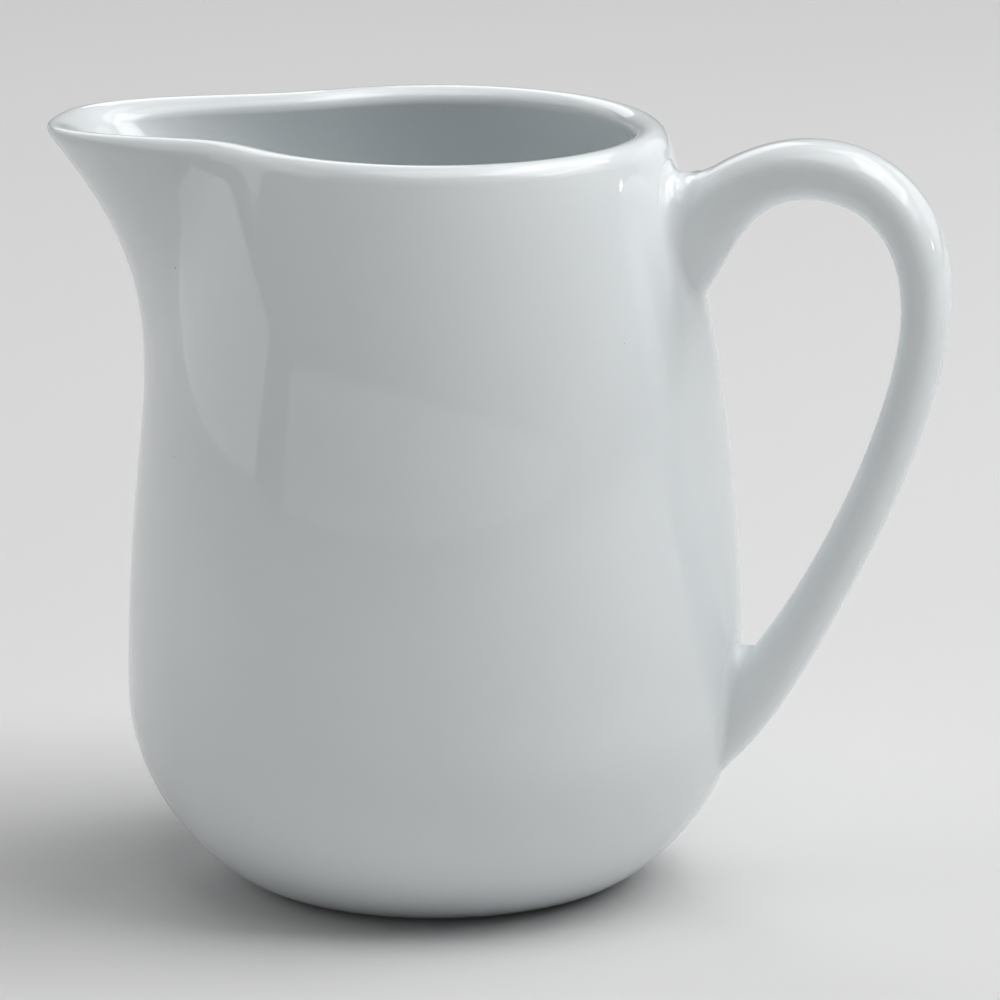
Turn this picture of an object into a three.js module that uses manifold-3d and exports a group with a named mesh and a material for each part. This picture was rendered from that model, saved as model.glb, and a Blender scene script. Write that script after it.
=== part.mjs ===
// A small glazed porcelain pitcher, in millimetres, +Z up.
// The spout points along -X and the handle stands out along +X.
import * as THREE from 'three';
import { ParametricGeometry } from 'three/addons/geometries/ParametricGeometry.js';
import { mergeVertices } from 'three/addons/utils/BufferGeometryUtils.js';
import Module from 'manifold-3d';

const wasm = await Module();
wasm.setup();

// Body: outside
const rimHeight = 100;
const footRadius = 21.9;         // outer edge of the flat ring that it stands on
const footWidth = 3.4;
const footRecess = 1.1;          // how far the middle of the base is set up
const footEase = 1.2;            // how far in the recess starts to turn down to the foot
const bellyRadius = 40.3;
const bellyHeight = 25.8;
const baseTurn = 5.6;            // pulls of the lower curve at the foot and at the belly
const lowerFullness = 14.8;
const upperFullness = 42.5;      // pull of the long curve from the belly to the rim
const lipRadius = 28;            // circle that the middle of the lip follows
const lipOutside = [2.6, 3.4];   // half width and half height of its round section, outside and inside
const lipInside = [2.3, 1.85];
const lipStart = THREE.MathUtils.degToRad(24);
const lipEnd = THREE.MathUtils.degToRad(192);

// Body: inside
const wall = 3.4;
const floorTop = 4.3;
const floorRadius = 17;

// Spout: the rim pulled out along -X
const spoutPull = 22.4;
const spoutDrop = 1.1;
const spoutStartHeight = 45;
const spoutSteepness = 4.3;      // power of the height that the pull follows
const spoutFullness = 1.5;       // extra pull below the rim
const spoutSpread = 0.307;       // half angle of the channel, radians
const spoutFlank = 1.9;          // power that shapes the channel's flanks
const spoutRounding = 0.16;      // blunts the channel's middle, radians

// Handle: centre line in the XZ plane, and half sizes of its oval section
const handleRoot = [31.9, 83.9];
const handleRootAngle = 1.03;
const handleTop = [50, 96.5];
const handleSide = [64.8, 79.5];
const handleFoot = [38.4, 21.7];
const handleFootAngle = 0.81;
const handlePulls = { root: 9.3, beforeTop: 7.3, afterTop: 7.7, aboveSide: 11.8, belowSide: 17.2, foot: 13.7 };
const handleHalfDepth = 2.95;    // across the finger loop, at the thinnest place
const handleHalfWidth = 5.1;     // along Y
const rootFlare = { height: 2.6, run: 12 };                 // swellings of the half depth
const crownFlare = { height: 0.85, run: 17, place: 26 };
const footFlare = { height: 1, run: 17 };
const widthFlare = { share: 0.4, run: 8 };                  // what both ends' flares add to the half width
const buriedRoot = [27.1, 75.7];  // where each end stops inside the body, before it is trimmed
const buriedFoot = [27, 21];
const buriedPull = 4;

// Slip that lutes the handle to the body
const filletHeight = 2.4;        // how thick the slip stands on the wall
const filletReach = 3.4;         // how far it runs out from the wall
const gap = 0.3;                 // clearance between touching pieces

// Facets
const around = 48;
const crowding = 0.45;           // gathers the facets round the spout
const handleSides = 16;
const handleSteps = 40;
const jointSteps = 18;
const jointLength = 30;          // stretch of the centre line that a joint is shaped on

const vec2 = ([x, y]) => new THREE.Vector2(x, y);

function bezier(from, fromPull, toPull, to, divisions) {
    return new THREE.CubicBezierCurve(vec2(from), vec2(fromPull), vec2(toPull), vec2(to)).getPoints(divisions);
}

function lipArc([halfWidth, halfHeight], start, end) {
    return new THREE.EllipseCurve(lipRadius, rimHeight - halfHeight, halfWidth, halfHeight, start, end);
}

// Outer outline from the edge of the foot to the inside edge of the lip
function outerOutline() {
    const outside = lipArc(lipOutside, lipStart, Math.PI / 2).getPoints(5);
    const inside = lipArc(lipInside, Math.PI / 2, lipEnd).getPoints(4);
    const neck = outside[0].toArray();
    const belly = [bellyRadius, bellyHeight];
    const lower = bezier([footRadius, 0], [footRadius + baseTurn, 0],
        [bellyRadius, bellyHeight - lowerFullness], belly, 8);
    const upper = bezier(belly, [bellyRadius, bellyHeight + upperFullness], neck, neck, 15);
    return [...lower, ...upper.slice(1), ...outside.slice(1), ...inside.slice(1)];
}

// Inner outline from the lip down to the middle of the floor
function innerOutline() {
    const mouth = lipArc(lipInside, Math.PI / 2, lipEnd).getPoint(1).toArray();
    const belly = [bellyRadius - wall, bellyHeight + 1];
    const upper = bezier(mouth, mouth, [belly[0], belly[1] + upperFullness - wall], belly, 12);
    const lower = bezier(belly, [belly[0], belly[1] - lowerFullness + 1],
        [floorRadius + 10, floorTop], [floorRadius, floorTop], 7);
    return [...upper.slice(1), ...lower.slice(1), new THREE.Vector2(0, floorTop)];
}

function underside() {
    const innerEdge = footRadius - footWidth;
    return [
        new THREE.Vector2(0, footRecess),
        new THREE.Vector2(innerEdge - footEase, footRecess),
        new THREE.Vector2(innerEdge - 0.3 * footEase, 0.7 * footRecess),
        new THREE.Vector2(innerEdge, 0),
    ];
}

// Moves an outline outwards along its normals
function grown(outline, distance) {
    return outline.map((point, i) => {
        const before = outline[Math.max(i - 1, 0)];
        const after = outline[Math.min(i + 1, outline.length - 1)];
        const along = after.clone().sub(before).normalize();
        return new THREE.Vector2(point.x + along.y * distance, point.y - along.x * distance);
    });
}

// Pulls the rim out into the spout, and gathers the facets there. The lip's middle circle is drawn out along the
// radius, and all else keeps its distance square to it, so that the wall stays as thick on the spout's flanks.
function pullSpout(geometry) {
    const position = geometry.attributes.position;
    for (let i = 0; i < position.count; i++) {
        const radius = Math.hypot(position.getX(i), position.getY(i));
        const turned = Math.atan2(position.getY(i), -position.getX(i));
        const angle = turned - crowding * Math.sin(turned);
        const height = position.getZ(i);
        const climb = THREE.MathUtils.clamp((height - spoutStartHeight) / (rimHeight - spoutStartHeight), 0, 1);
        const rise = climb ** spoutSteepness * (1 + spoutFullness * (1 - climb));
        const across = Math.hypot(angle, spoutRounding) - spoutRounding;
        const share = rise * Math.exp(-((across / spoutSpread) ** spoutFlank));
        const steepness = spoutFlank / spoutSpread * (across / spoutSpread) ** (spoutFlank - 1)
            * angle / Math.hypot(angle, spoutRounding);
        const reach = lipRadius + spoutPull * share;
        const slope = spoutPull * share * steepness;
        const stretch = (radius - lipRadius) / Math.hypot(reach, slope);
        const outwards = reach + reach * stretch;
        const sideways = slope * stretch;
        position.setXYZ(i,
            -outwards * Math.cos(angle) + sideways * Math.sin(angle),
            outwards * Math.sin(angle) + sideways * Math.cos(angle),
            height - spoutDrop * share);
    }
    return geometry;
}

function turned(outline) {
    return pullSpout(new THREE.LatheGeometry(outline, around).rotateX(Math.PI / 2));
}

// Handle centre line, from inside the upper wall to inside the lower wall
function handleCurve() {
    const point = ([x, z]) => new THREE.Vector3(x, 0, z);
    const shifted = ([x, z], angle, by) => [x + by * Math.cos(angle), z + by * Math.sin(angle)];
    const curve = new THREE.CurvePath();
    const segment = (...points) => curve.add(new THREE.CubicBezierCurve3(...points.map(point)));
    const { root, beforeTop, afterTop, aboveSide, belowSide, foot } = handlePulls;
    const [topX, topZ] = handleTop;
    const [sideX, sideZ] = handleSide;
    curve.add(new THREE.LineCurve3(point(buriedRoot), point(handleRoot)));
    segment(handleRoot, shifted(handleRoot, handleRootAngle, root), [topX - beforeTop, topZ], handleTop);
    segment(handleTop, [topX + afterTop, topZ], [sideX, sideZ + aboveSide], handleSide);
    segment(handleSide, [sideX, sideZ - belowSide], shifted(handleFoot, handleFootAngle, foot), handleFoot);
    curve.add(new THREE.QuadraticBezierCurve3(point(handleFoot),
        point(shifted(handleFoot, handleFootAngle, -buriedPull)), point(buriedFoot)));
    return curve;
}

const handleLine = handleCurve();
const handleLength = handleLine.getLength();
const [rootLength, , , , footLength] = handleLine.curves.map((curve) => curve.getLength());

const bump = (distance, width) => Math.exp(-((distance / width) ** 2));

// Half depth and half width of the handle at a distance along its centre line
function handleSection(distance) {
    const fromRoot = Math.max(distance - rootLength, 0);
    const fromFoot = Math.max(handleLength - footLength - distance, 0);
    const depth = handleHalfDepth + rootFlare.height * bump(fromRoot, rootFlare.run)
        + crownFlare.height * bump(fromRoot - crownFlare.place, crownFlare.run)
        + footFlare.height * bump(fromFoot, footFlare.run);
    const width = handleHalfWidth + widthFlare.share * (rootFlare.height * bump(fromRoot, widthFlare.run)
        + footFlare.height * bump(fromFoot, widthFlare.run));
    return [depth, width];
}

// Radius of the body's outside at a height, away from the spout
function wallRadius(height) {
    const outline = outerOutline();
    const level = Math.min(height, rimHeight - lipOutside[1]);
    const i = outline.findIndex((point) => point.y > level);
    const [below, above] = [outline[i - 1], outline[i]];
    return THREE.MathUtils.mapLinear(level, below.y, above.y, below.x, above.x);
}

// Closed tube round part of the handle's centre line, fatter than the handle by extra(distance from the wall)
function sweep(start, end, steps, extra) {
    const tube = (across, along, target) => {
        const share = THREE.MathUtils.clamp((along * (steps + 2) - 1) / steps, 0, 1);
        const distance = THREE.MathUtils.lerp(start, end, share);
        const centre = handleLine.getPointAt(distance / handleLength);
        const tangent = handleLine.getTangentAt(distance / handleLength);
        const outwards = new THREE.Vector3(-tangent.z, 0, tangent.x);
        const [depth, width] = handleSection(distance);
        const angle = -across * 2 * Math.PI;
        const place = (grow) => {
            target.copy(centre).addScaledVector(outwards, (depth + grow) * Math.cos(angle));
            target.y += (width + grow) * Math.sin(angle);
        };
        place(0);
        place(extra(Math.max(Math.hypot(target.x, target.y) - wallRadius(target.z), 0)));
        if (along === 0 || along === 1) target.copy(centre);
    };
    return new ParametricGeometry(tube, handleSides, steps + 2);
}

// Shared vertices, with the slivers at the poles and caps' middles dropped
function welded(geometry) {
    geometry.deleteAttribute('normal');
    geometry.deleteAttribute('uv');
    const merged = mergeVertices(geometry, 1e-4);
    const corners = merged.index.array;
    const kept = [];
    for (let i = 0; i < corners.length; i += 3) {
        const [a, b, c] = corners.slice(i, i + 3);
        if (a !== b && b !== c && c !== a) kept.push(a, b, c);
    }
    merged.setIndex(kept);
    return merged;
}

function solid(geometry) {
    const merged = welded(geometry);
    return new wasm.Manifold(new wasm.Mesh({
        numProp: 3,
        vertProperties: new Float32Array(merged.attributes.position.array),
        triVerts: new Uint32Array(merged.index.array),
    }));
}

function geometryOf(manifold) {
    const { vertProperties, triVerts } = manifold.getMesh();
    const geometry = new THREE.BufferGeometry();
    geometry.setAttribute('position', new THREE.BufferAttribute(vertProperties, 3));
    geometry.setIndex(new THREE.BufferAttribute(triVerts, 1));
    geometry.computeVertexNormals();
    return geometry;
}

// The body's outside with no hollow, grown by a distance
function bodyBlock(distance) {
    const outline = grown(outerOutline(), distance);
    const [first, last] = [outline[0], outline[outline.length - 1]];
    return solid(turned([new THREE.Vector2(0, first.y), ...outline, new THREE.Vector2(0, last.y)]));
}

function glaze(name, color, roughness) {
    return new THREE.MeshStandardMaterial({ name, color, roughness, metalness: 0 });
}

function piece(name, geometry, material) {
    const mesh = new THREE.Mesh(geometry, material);
    mesh.name = name;
    return mesh;
}

const cutter = bodyBlock(gap);
const filletZone = bodyBlock(filletReach);

function body() {
    return piece('body', turned([...underside(), ...outerOutline(), ...innerOutline()]),
        glaze('white_glaze', 0xf1f3f3, 0.12));
}

function handle() {
    const strap = solid(sweep(0, handleLength, handleSteps, () => 0));
    return piece('handle', geometryOf(strap.subtract(cutter)), glaze('handle_glaze', 0xf2f4f4, 0.12));
}

// A collar of slip round one end of the handle, thick at the wall and feathered out along the handle
function joint(name, start, end) {
    const feather = (fromWall) => 2 * gap + filletHeight * Math.max(1 - fromWall / filletReach, 0) ** 2;
    const collar = solid(sweep(start, end, jointSteps, feather)).intersect(filletZone);
    const grownHandle = solid(sweep(0, handleLength, handleSteps, () => gap));
    return piece(name, geometryOf(collar.subtract(cutter).subtract(grownHandle)),
        glaze(`${name}_slip`, 0xf0f2f2, 0.14));
}

const pitcher = new THREE.Group();
pitcher.name = 'pitcher';
pitcher.add(body());
pitcher.add(handle());
pitcher.add(joint('upper_joint', 0, jointLength));
pitcher.add(joint('lower_joint', handleLength - jointLength, handleLength));

// The origin is on the table, below the middle of the pitcher's length
const reach = new THREE.Box3().setFromObject(pitcher);
pitcher.position.x = -(reach.min.x + reach.max.x) / 2;

export default pitcher;
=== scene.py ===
import bisect
import math

import bmesh
import bpy
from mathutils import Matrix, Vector
from mathutils.geometry import interpolate_bezier


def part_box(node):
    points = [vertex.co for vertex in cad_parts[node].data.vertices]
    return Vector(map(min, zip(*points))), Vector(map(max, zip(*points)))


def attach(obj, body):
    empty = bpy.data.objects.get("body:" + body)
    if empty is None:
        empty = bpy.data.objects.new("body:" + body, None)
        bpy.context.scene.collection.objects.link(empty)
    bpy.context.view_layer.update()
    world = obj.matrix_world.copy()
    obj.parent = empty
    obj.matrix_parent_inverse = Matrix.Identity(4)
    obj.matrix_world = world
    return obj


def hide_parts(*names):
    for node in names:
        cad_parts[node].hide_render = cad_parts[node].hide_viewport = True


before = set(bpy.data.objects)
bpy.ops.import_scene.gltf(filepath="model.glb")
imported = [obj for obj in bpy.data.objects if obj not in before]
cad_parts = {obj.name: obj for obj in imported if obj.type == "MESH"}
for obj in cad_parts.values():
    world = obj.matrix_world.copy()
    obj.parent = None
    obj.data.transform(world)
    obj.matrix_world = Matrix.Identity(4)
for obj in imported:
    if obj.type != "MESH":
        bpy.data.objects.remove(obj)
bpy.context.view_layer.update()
mm = 0.001

# --- Body -----------------------------------------------------------------------------------------
# White porcelain cast in a plaster mould: a round belly, a narrower neck and a rolled lip, in one
# piece with its floor. While the clay was soft the lip was pulled out into the pouring spout.

body_low, body_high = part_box("body")
belly_radius = (body_high.y - body_low.y) / 2
axis_x = body_high.x - belly_radius
to_axis = Vector((axis_x, 0, 0))
rim_height = body_high.z

foot_radius = 21.9 * mm
foot_width = 3.4 * mm
foot_recess = 1.1 * mm
foot_ease = 2 * mm
belly_height = 25.8 * mm
base_turn = 5.6 * mm
lower_fullness = 14.8 * mm
upper_fullness = 42.5 * mm
wall = 3.4 * mm
floor_top = 4.3 * mm
floor_radius = 17 * mm
floor_turn = 10 * mm
inside_lift = 1 * mm

lip_radius = 28 * mm
lip_outside = 2.6 * mm, 3.4 * mm
lip_inside = 2.3 * mm, 1.85 * mm
lip_start = math.radians(24)
lip_end = math.radians(192)

spout_pull = 22.4 * mm
spout_drop = 1.1 * mm
spout_start = 45 * mm
spout_steepness = 4.3
spout_fullness = 1.5
spout_spread = 0.307
spout_flank = 1.9
spout_rounding = 0.16


def on_lip(turn):
    """A point on the lip's round section, which is an oval half outside its middle and another inside."""
    across, up = lip_outside if math.cos(turn) > 0 else lip_inside
    return Vector((lip_radius + across * math.cos(turn), 0, rim_height - up + up * math.sin(turn)))


def curved(start, start_pull, end_pull, end, points):
    ends = [Vector((x, 0, z)) for x, z in (start, start_pull, end_pull, end)]
    return interpolate_bezier(*ends, points)


def outside_outline(points=70):
    """From the edge of the foot up to the start of the lip."""
    belly = (belly_radius, belly_height)
    neck = on_lip(lip_start).xz
    lower = curved((foot_radius, 0), (foot_radius + base_turn, 0),
                   (belly_radius, belly_height - lower_fullness), belly, points)
    upper = curved(belly, (belly_radius, belly_height + upper_fullness), neck, neck, points)
    return lower + upper[1:]


def inside_outline(points=50):
    """From the end of the lip down to the middle of the floor."""
    mouth = on_lip(lip_end).xz
    radius = belly_radius - wall
    height = belly_height + inside_lift
    upper = curved(mouth, mouth, (radius, height + upper_fullness - wall), (radius, height), points)
    lower = curved((radius, height), (radius, height - lower_fullness + inside_lift),
                   (floor_radius + floor_turn, floor_top), (floor_radius, floor_top), points // 2)
    floor = [Vector((floor_radius * share, 0, floor_top)) for share in (0.66, 0.33, 0)]
    return upper[1:] + lower[1:] + floor


def under_outline():
    """From the middle of the base out to the inside edge of the foot."""
    edge = foot_radius - foot_width
    recess = [Vector((edge * share, 0, foot_recess)) for share in (0, 0.4, 0.7)]
    turn = curved((edge - foot_ease, foot_recess), (edge - 0.4 * foot_ease, foot_recess),
                  (edge - 0.2 * foot_ease, 0), (edge, 0), 8)
    return recess + turn + [Vector((edge + foot_width * share, 0, 0)) for share in (0.33, 0.66)]


def pulled(place):
    """Where the clay at a place goes when the spout is pulled. The lip's middle circle is drawn out along the
    radius, and all else keeps its distance square to it."""
    turn = math.atan2(place.y, -place.x)
    climb = min(max((place.z - spout_start) / (rim_height - spout_start), 0), 1)
    rise = climb ** spout_steepness * (1 + spout_fullness * (1 - climb))
    across = math.hypot(turn, spout_rounding) - spout_rounding
    share = rise * math.exp(-((across / spout_spread) ** spout_flank))
    steepness = (spout_flank / spout_spread * (across / spout_spread) ** (spout_flank - 1)
                 * turn / math.hypot(turn, spout_rounding))
    reach = lip_radius + spout_pull * share
    slope = spout_pull * share * steepness
    stretch = (math.hypot(place.x, place.y) - lip_radius) / math.hypot(reach, slope)
    outwards = reach + reach * stretch
    sideways = slope * stretch
    return Vector((-outwards * math.cos(turn) + sideways * math.sin(turn),
                   outwards * math.sin(turn) + sideways * math.cos(turn), place.z - spout_drop * share))


weld = 0.002 * mm


def finished(name, bm, material, node):
    """Turns a bmesh into a smooth piece of the pitcher that stands for that CAD node."""
    bmesh.ops.remove_doubles(bm, verts=bm.verts, dist=weld)
    bmesh.ops.recalc_face_normals(bm, faces=bm.faces)
    mesh = bpy.data.meshes.new(name)
    bm.to_mesh(mesh)
    bm.free()
    mesh.shade_smooth()
    mesh.materials.append(material)
    piece = bpy.data.objects.new(name, mesh)
    bpy.context.scene.collection.objects.link(piece)
    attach(piece, "root")
    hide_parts(node)


class Wire:
    """An output socket of a shader node. Sums and products of wires become Math nodes."""

    def __init__(self, tree, socket=None):
        self.tree = tree
        self.socket = socket

    def node(self, kind, settings=None, inputs=None, output=0):
        made = self.tree.nodes.new(kind)
        for name, value in (settings or {}).items():
            setattr(made, name, value)
        for name, value in (inputs or {}).items():
            if isinstance(value, Wire):
                self.tree.links.new(value.socket, made.inputs[name])
            else:
                made.inputs[name].default_value = value
        return Wire(self.tree, made.outputs[output] if made.outputs else None)

    def math(self, operation, *values):
        return self.node("ShaderNodeMath", {"operation": operation}, dict(enumerate(values)))

    def __add__(self, other):
        return self.math("ADD", self, other)

    __radd__ = __add__

    def __sub__(self, other):
        return self.math("SUBTRACT", self, other)

    def __rsub__(self, other):
        return self.math("SUBTRACT", other, self)

    def __mul__(self, other):
        return self.math("MULTIPLY", self, other)

    __rmul__ = __mul__

    def step(self, low, high):
        """0 below low, 1 above high, and smooth in between."""
        return self.node("ShaderNodeMapRange", {"interpolation_type": "SMOOTHSTEP"},
                         {"Value": self, "From Min": low, "From Max": high, "To Min": 0, "To Max": 1})


glaze_white = (0.85, 0.89, 0.905, 1)
thick_glaze = 0.975
iron_speck = (0.25, 0.22, 0.2, 1)
bare_clay = (0.76, 0.74, 0.70, 1)
bare_from = 0.4 * mm
bare_below = 0.1 * mm
wave_height = 0.06 * mm
peel_height = 0.002 * mm
grain_height = 0.03 * mm


def glazed(name, seed=0):
    """Clear gloss glaze on white porcelain, bare where the piece stood on the kiln shelf."""
    material = bpy.data.materials.new(name)
    material.use_nodes = True
    tree = material.node_tree
    tree.nodes.clear()
    start = Wire(tree)
    place = start.node("ShaderNodeTexCoord", output="Object")
    shifted = start.node("ShaderNodeMapping", inputs={"Vector": place, "Location": (seed, seed, seed)})
    height = start.node("ShaderNodeSeparateXYZ", inputs={"Vector": place}, output="Z")

    def noise(scale, detail=2.0):
        return start.node("ShaderNodeTexNoise", inputs={"Vector": shifted, "Scale": scale, "Detail": detail})

    def mixed(factor, a, b):
        return start.node("ShaderNodeMix", {"data_type": "RGBA"}, {0: factor, 6: a, 7: b}, output=2)

    wave = noise(55, 1.0)
    peel = noise(900)
    tone = noise(30)
    bare = 1 - height.step(bare_below, bare_from)
    cell = start.node("ShaderNodeTexVoronoi", inputs={"Vector": shifted, "Scale": 95, "Randomness": 1})
    speck = (1 - cell.step(0.010, 0.022)) * noise(41).step(0.56, 0.60)

    thick = tuple(part * thick_glaze for part in glaze_white[:3]) + (1,)
    color = mixed(tone.step(0.35, 0.65), glaze_white, thick)
    color = mixed(speck * 0.45, color, iron_speck)
    color = mixed(bare, color, bare_clay)
    relief = wave * wave_height + peel * peel_height + bare * noise(2600) * grain_height
    bump = start.node("ShaderNodeBump", inputs={"Height": relief, "Strength": 1, "Distance": 1})
    shader = start.node("ShaderNodeBsdfPrincipled", inputs={
        "Base Color": color,
        "Roughness": 0.03 + tone * 0.02 + bare * 0.65,
        "IOR": 1.5,
        "Normal": bump,
    })
    start.node("ShaderNodeOutputMaterial", inputs={"Surface": shader})
    return material


around = 384
across_lip = 24
lip = [on_lip(lip_start + (lip_end - lip_start) * step / across_lip) for step in range(1, across_lip + 1)]
bm = bmesh.new()
outline = [bm.verts.new(point) for point in under_outline() + outside_outline() + lip + inside_outline()]
edges = [bm.edges.new(pair) for pair in zip(outline, outline[1:])]
bmesh.ops.spin(bm, geom=outline + edges, cent=(0, 0, 0), axis=(0, 0, 1), angle=math.tau, steps=around,
               use_merge=True)
for vert in bm.verts:
    vert.co = pulled(vert.co) + to_axis
finished("pitcher_body", bm, glazed("body_glaze"), "body")

# --- Handle ---------------------------------------------------------------------------------------
# A strap of the same porcelain with an oval section, cast by itself and bent into an ear. It is
# thickest where it leaves the neck, thins down the back and swells again where it meets the belly.

x_way, z_way = Vector((1, 0, 0)), Vector((0, 0, 1))
handle_root = Vector((31.9, 0, 83.9)) * mm
root_way = Vector((math.cos(1.03), 0, math.sin(1.03)))
handle_top = Vector((50, 0, 96.5)) * mm
handle_side = Vector((64.8, 0, 79.5)) * mm
handle_foot = Vector((38.4, 0, 21.7)) * mm
foot_way = Vector((math.cos(0.81), 0, math.sin(0.81)))
root_pull = 9.3 * mm
before_top, after_top = 7.3 * mm, 7.7 * mm
above_side, below_side = 11.8 * mm, 17.2 * mm
foot_pull = 13.7 * mm
half_depth = 2.95 * mm
half_width = 5.1 * mm
root_flare = 2.6 * mm
root_run = 12 * mm
crown_flare = 0.85 * mm
crown_place = 26 * mm
foot_flare = 1.0 * mm
long_run = 17 * mm
widening = 0.4
widening_run = 8 * mm
squareness = 2.25
buried = 12 * mm
sunk = 1.2 * mm

spans = [
    (handle_root - root_way * buried, handle_root, handle_root, handle_root),
    (handle_root, handle_root + root_way * root_pull, handle_top - x_way * before_top, handle_top),
    (handle_top, handle_top + x_way * after_top, handle_side + z_way * above_side, handle_side),
    (handle_side, handle_side - z_way * below_side, handle_foot + foot_way * foot_pull, handle_foot),
    (handle_foot, handle_foot, handle_foot, handle_foot - foot_way * buried),
]
strap_line = [spans[0][0]]
for span in spans:
    strap_line += interpolate_bezier(*span, 200)[1:]
lip_step = math.radians(0.5)
wall_line = outside_outline(200)[:-1] + [on_lip(lip_start + step * lip_step) for step in range(150)]


def travelled(line):
    """How far along a line of points each of them is."""
    travel = [0.0]
    for before, after in zip(line, line[1:]):
        travel.append(travel[-1] + (after - before).length)
    return travel


strap_travel = travelled(strap_line)
wall_travel = travelled(wall_line)
handle_length = strap_travel[-1]


def follow(line, travel, distance):
    """The point at a distance along a line, and the way the line runs there."""
    i = min(max(bisect.bisect(travel, distance), 2), len(line) - 2)
    share = (distance - travel[i - 1]) / (travel[i] - travel[i - 1])
    way = (line[i] - line[i - 2]).lerp(line[i + 1] - line[i - 1], share).normalized()
    return line[i - 1].lerp(line[i], share), way


def swelling(distance, run):
    return math.exp(-((distance / run) ** 2))


def on_strap(distance, turn):
    """A point on the handle's skin, at a distance along its middle and a turn round its section."""
    middle, way = follow(strap_line, strap_travel, distance)
    from_root = max(distance - buried, 0)
    from_foot = max(handle_length - buried - distance, 0)
    depth = (half_depth + root_flare * swelling(from_root, root_run)
             + crown_flare * swelling(from_root - crown_place, long_run)
             + foot_flare * swelling(from_foot, long_run))
    width = half_width + widening * (root_flare * swelling(from_root, widening_run)
                                     + foot_flare * swelling(from_foot, widening_run))
    square = (abs(math.cos(turn)) ** squareness + abs(math.sin(turn)) ** squareness) ** (-1 / squareness)
    outwards = Vector((-way.z, 0, way.x))
    return (middle + outwards * depth * square * math.cos(turn)
            + Vector((0, width * square * math.sin(turn), 0)))


def from_wall(place):
    """(turn round the body, distance up its outline, height off its skin) of a point by the wall."""
    flat = Vector((math.hypot(place.x, place.y), 0, place.z))
    near = min(range(1, len(wall_line) - 1), key=lambda i: (wall_line[i] - flat).length_squared)
    up = wall_travel[near]
    for correction in range(5):
        spot, along = follow(wall_line, wall_travel, up)
        up += (flat - spot).dot(along)
    return Vector((math.atan2(place.y, place.x), up, (flat - spot).dot(Vector((along.z, 0, -along.x)))))


def reaches(turn, off, inside, outside):
    """How far along the handle its skin at a turn is at that height off the wall, between two distances."""
    for halving in range(24):
        middle = (inside + outside) / 2
        if from_wall(on_strap(middle, turn)).z < off:
            inside = middle
        else:
            outside = middle
    return (inside + outside) / 2


def drawn_out(bm, ring, places):
    """Extrudes an open ring of vertices to new places and returns the new ring."""
    edges = [bm.edges.get((a, b)) for a, b in zip(ring, ring[1:] + ring[:1])]
    made = bmesh.ops.extrude_edge_only(bm, edges=edges)["geom"]
    twins = {tuple(vert.co): vert for vert in made if isinstance(vert, bmesh.types.BMVert)}
    new = [twins[tuple(vert.co)] for vert in ring]
    for vert, place in zip(new, places):
        vert.co = place
    return new


def first_ring(bm, places):
    made = bmesh.ops.create_circle(bm, segments=len(places), radius=1)["verts"]
    for vert, place in zip(made, places):
        vert.co = place
    return list(made)


sides = 128
strap_steps = 440
turns = [math.tau * side / sides for side in range(sides)]
root_end = 0, buried + 12 * mm
foot_end = handle_length, handle_length - buried - 20 * mm
root_trims = [reaches(turn, -sunk, *root_end) for turn in turns]
foot_trims = [reaches(turn, -sunk, *foot_end) for turn in turns]

bm = bmesh.new()
ring = None
for step in range(strap_steps + 1):
    share = step / strap_steps
    places = [on_strap(start + (end - start) * share, turn) + to_axis
              for turn, start, end in zip(turns, root_trims, foot_trims)]
    ring = drawn_out(bm, ring, places) if ring else first_ring(bm, places)
bmesh.ops.holes_fill(bm, edges=[edge for edge in bm.edges if edge.is_boundary])
finished("pitcher_handle", bm, glazed("handle_glaze", seed=0.3), "handle")

# --- Joints ---------------------------------------------------------------------------------------
# The handle is stuck to the leather-hard body with runny clay called slip. What squeezes out is wiped
# round with a wet brush into a small hollow fillet at each root, and the glaze runs over it.

shortest_leg = 1.7 * mm
longest_leg = 5.4 * mm
sharpest_corner = 0.3
feather = 0.005 * mm
slip_depth = 0.8 * mm
easing = 0.4
across_joint = 36


def by_wall(turn, up, off):
    """The point at a turn round the body, a distance up its outline and a height off its skin."""
    spot, along = follow(wall_line, wall_travel, up)
    flat = spot + Vector((along.z, 0, -along.x)) * off
    return Vector((flat.x * math.cos(turn), flat.x * math.sin(turn), flat.z))


def wiped(corner):
    """Points across the hollow of a fillet in a corner, as shares of its leg on the wall and its leg on the
    strap. It curls gently where it leaves each and tighter in between."""
    bend = math.pi - corner
    finer = 8
    path = [Vector((0, 0))]
    for step in range(across_joint * finer):
        share = (step + 0.5) / (across_joint * finer)
        turned = bend * (share - easing * math.sin(math.tau * share) / math.tau)
        path.append(path[-1] + Vector((math.cos(turned), math.sin(turned))))
    leg = path[-1].y / math.sin(bend)
    return [(1 - (point.x + point.y / math.tan(corner)) / leg, point.y / math.sin(corner) / leg)
            for point in path[::finer]]


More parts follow.
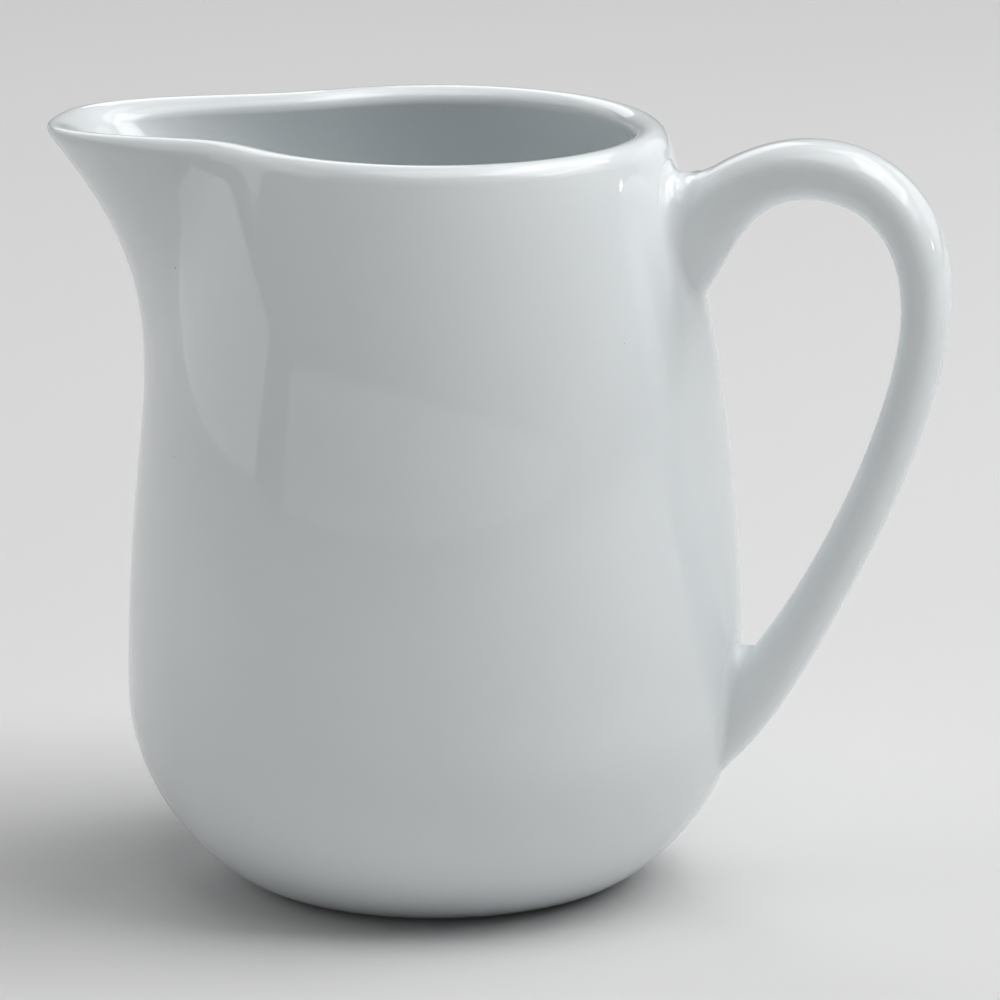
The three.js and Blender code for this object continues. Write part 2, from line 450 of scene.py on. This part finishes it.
def joint(name, node, end, radius, raised=0, lowered=0):
    """A collar between the wall and one end of the handle, wiped round to a radius. end is the stretch of the
    handle's travel that comes out of the wall there. raised and lowered are how much further the collar runs
    up the handle's back and down the wall under it."""
    bm = bmesh.new()
    meets = [reaches(turn, 0, *end) for turn in turns]
    roots = [from_wall(on_strap(meet, turn)) for meet, turn in zip(meets, turns)]
    middle = sum(roots, Vector((0, 0, 0))) / len(roots)
    girth = by_wall(middle.x, middle.y, 0).x
    flatten = Vector((girth, 1, 1))
    leaving_way = math.copysign(1, end[1] - end[0])
    ribs = []
    for turn, meet, root in zip(turns, meets, roots):
        away = ((root - middle) * flatten).normalized()
        leaving = ((from_wall(on_strap(meet + leaving_way * 2 * mm, turn)) - root) * flatten).normalized()
        corner = max(away.angle(leaving), sharpest_corner)
        leg = min(max(radius / math.tan(corner / 2), shortest_leg), longest_leg)
        wall_leg = Vector((away.x / girth, away.y, 0)) * (leg + lowered * max(-math.cos(turn), 0) ** 2)
        strap_leg = leaving_way * (leg + raised * max(math.cos(turn), 0))
        ribs.append((turn, meet, root, wall_leg, strap_leg, wiped(corner)))
    ring = None
    for step in range(across_joint + 1):
        places = []
        for turn, meet, root, wall_leg, strap_leg, hollow in ribs:
            on_wall, on_side = hollow[step]
            skin = on_strap(meet + strap_leg * on_side, turn)
            opposite = on_strap(meet + strap_leg * on_side, turn + math.pi)
            place = from_wall(skin.lerp(opposite, feather / half_depth)) + wall_leg * on_wall
            places.append(by_wall(place.x, place.y, place.z - feather) + to_axis)
        ring = drawn_out(bm, ring, places) if ring else first_ring(bm, places)
    in_strap, under_wall = [], []
    centre = by_wall(middle.x, middle.y, -slip_depth)
    for turn, meet, root, wall_leg, strap_leg, hollow in ribs:
        skin = on_strap(meet + strap_leg, turn)
        in_strap.append(skin.lerp(on_strap(meet + strap_leg, turn + math.pi), 0.1) + to_axis)
        foot = root + wall_leg
        under_wall.append(by_wall(foot.x, foot.y, -slip_depth).lerp(centre, 0.15) + to_axis)
    ring = drawn_out(bm, ring, in_strap)
    drawn_out(bm, ring, under_wall)
    bmesh.ops.bridge_loops(bm, edges=[edge for edge in bm.edges if edge.is_boundary])
    finished(name, bm, glazed(name + "_glaze", seed=0.6), node)


joint("pitcher_upper_joint", "upper_joint", root_end, radius=2.8 * mm, raised=1.4 * mm, lowered=4 * mm)
joint("pitcher_lower_joint", "lower_joint", foot_end, radius=1.7 * mm)

# --- Studio ---------------------------------------------------------------------------------------
# A white table in a white room. Big soft boxes hang over the handle's side and behind it, smaller ones
# light the spout's side, and a long lens looks on from a metre away.

scene = bpy.context.scene
scene.view_settings.view_transform = "Standard"
world = bpy.data.worlds.new("white_studio")
world.use_nodes = True
background = world.node_tree.nodes["Background"]
background.inputs["Color"].default_value = (1, 1, 1, 1)
background.inputs["Strength"].default_value = 0.02
scene.world = world

table_reach = 3
table_paper = (0.7, 0.7, 0.7, 1)
bm = bmesh.new()
bmesh.ops.create_grid(bm, x_segments=1, y_segments=1, size=table_reach)
table_mesh = bpy.data.meshes.new("table_top")
bm.to_mesh(table_mesh)
bm.free()
paper_material = bpy.data.materials.new("matt_paper")
paper_material.use_nodes = True
paper = paper_material.node_tree.nodes["Principled BSDF"]
paper.inputs["Base Color"].default_value = table_paper
paper.inputs["Roughness"].default_value = 0.9
table_mesh.materials.append(paper_material)
table = bpy.data.objects.new("table_top", table_mesh)
scene.collection.objects.link(table)

light_distance = 1.3
light_aim = Vector((0, 0, 50 * mm))


def seen_from(turn, rise):
    """The way out from the pitcher. turn goes from its front (0) towards its handle, and rise goes up."""
    return Vector((math.sin(turn) * math.cos(rise), -math.cos(turn) * math.cos(rise), math.sin(rise)))


def soft_box(name, turn, rise, wide, high, radiance, slide=0):
    """A rectangular light that faces the pitcher. turn goes from its front (0) towards its handle (90). All
    four are degrees. slide moves it sideways in metres, and radiance is how bright its face is."""
    turn, rise = math.radians(turn), math.radians(rise)
    way = seen_from(turn, rise)
    sideways = Vector((math.cos(turn), math.sin(turn), 0))
    data = bpy.data.lights.new(name, "AREA")
    data.shape = "RECTANGLE"
    data.size = 2 * light_distance * math.tan(math.radians(wide) / 2)
    data.size_y = 2 * light_distance * math.tan(math.radians(high) / 2)
    data.energy = radiance * math.pi * data.size * data.size_y
    lamp = bpy.data.objects.new(name, data)
    lamp.location = light_aim + way * light_distance + sideways * slide
    lamp.rotation_mode = "QUATERNION"
    lamp.rotation_quaternion = way.to_track_quat("Z", "Y")
    lamp.visible_camera = False
    scene.collection.objects.link(lamp)


soft_box("key", turn=100, rise=56, wide=46, high=36, radiance=3.45)
soft_box("key_behind", turn=148, rise=56, wide=34, high=30, radiance=1.6)
soft_box("key_above", turn=45, rise=78, wide=52, high=34, radiance=1.75)
soft_box("key_below", turn=95, rise=34, wide=28, high=16, radiance=1.9)
soft_box("back_left", turn=212, rise=34, wide=30, high=24, radiance=1.7)
soft_box("back_low", turn=150, rise=14, wide=40, high=26, radiance=0.6)
soft_box("left", turn=262, rise=29, wide=44, high=34, radiance=0.85)
soft_box("left_front", turn=300, rise=36, wide=24, high=20, radiance=0.7)
soft_box("left_card", turn=258, rise=3.5, wide=88, high=12, radiance=0.9)
soft_box("front_card", turn=-12, rise=2.6, wide=131, high=9.7, radiance=0.55, slide=2)
soft_box("bare_bulb", turn=114, rise=10, wide=2.5, high=4, radiance=12)

view_turn = math.radians(14.29)
view_rise = math.radians(13.56)
view_distance = 1.0
view_height = 50.14 * mm
view_slide = 8.43 * mm
back = seen_from(view_turn, view_rise)
right = Vector((math.cos(view_turn), math.sin(view_turn), 0))
camera_data = bpy.data.cameras.new("camera")
camera_data.lens = 275.9
camera_data.sensor_width = 36
camera = bpy.data.objects.new("camera", camera_data)
camera.location = Vector((axis_x, 0, view_height)) + right * view_slide + back * view_distance
camera.rotation_mode = "QUATERNION"
camera.rotation_quaternion = (-back).to_track_quat("-Z", "Y")
scene.collection.objects.link(camera)
scene.camera = camera
